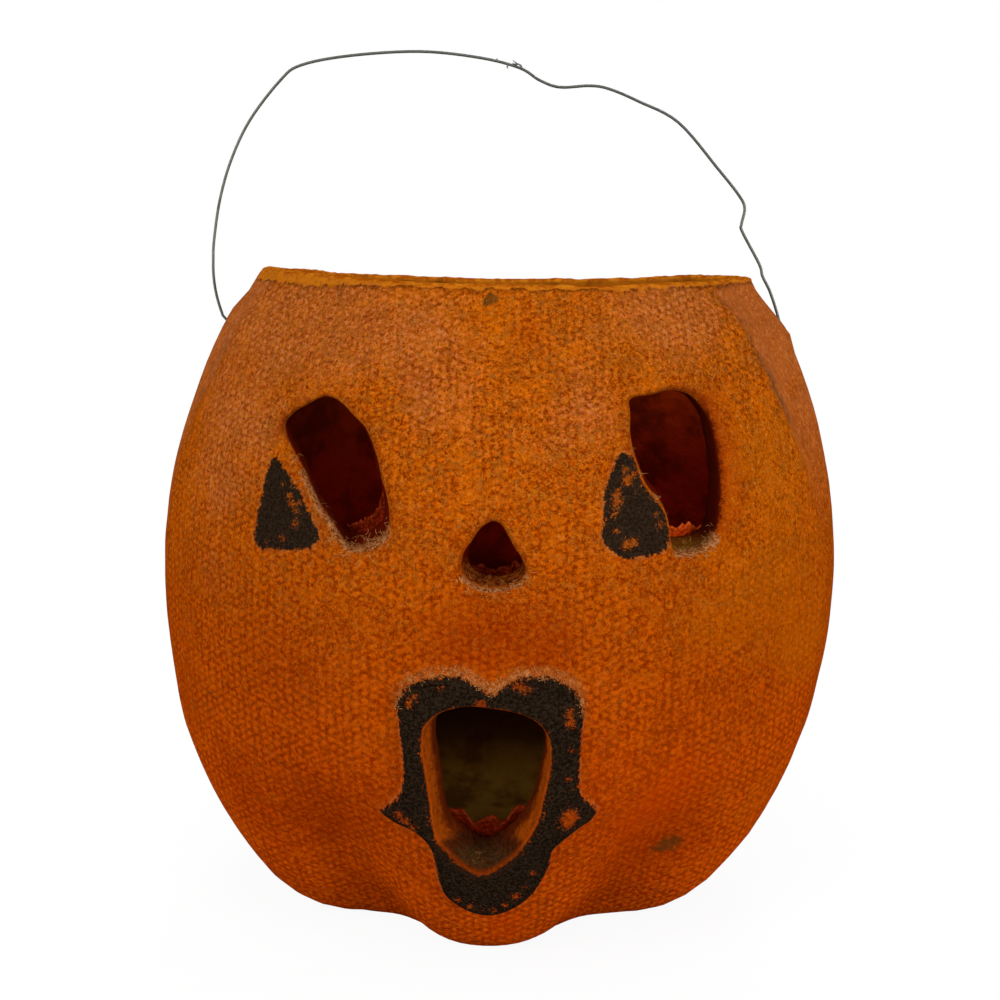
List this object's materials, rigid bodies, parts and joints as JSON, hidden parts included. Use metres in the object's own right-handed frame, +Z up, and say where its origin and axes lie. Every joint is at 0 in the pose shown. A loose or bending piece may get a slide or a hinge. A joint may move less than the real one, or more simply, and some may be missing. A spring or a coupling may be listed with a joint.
{
  "type": "pulp jack-o-lantern",
  "caption": "Moulded paper pulp jack-o-lantern pail with cut eyes, nose and mouth, lobed back and foot, and a swinging bent-wire bail",
  "frame": {"origin": "centre of the foot, on the surface that the lantern stands on", "axes": "+Z up, the face looks along -Y, +X is to the right of someone who looks at the face"},
  "size_m": [0.1648, 0.1659, 0.2061],
  "materials": {
    "pulp": "matte",
    "wire": "satin",
    "paper": "matte"
  },
  "bodies": {
    "shell": {"pulp_shell": "pulp", "paper_scrap_left_eye": "paper", "paper_scrap_right_eye": "paper", "paper_scrap_nose": "paper", "paper_scrap_mouth": "paper"},
    "bail": {"wire_bail": "wire"}
  },
  "joints": [
    {"name": "bail_swing", "type": "hinge", "parent": "shell", "child": "bail", "pos_m": [0, 0, 0.14], "axis": [1, 0, 0], "range_deg": [-30, 30]}
  ]
}
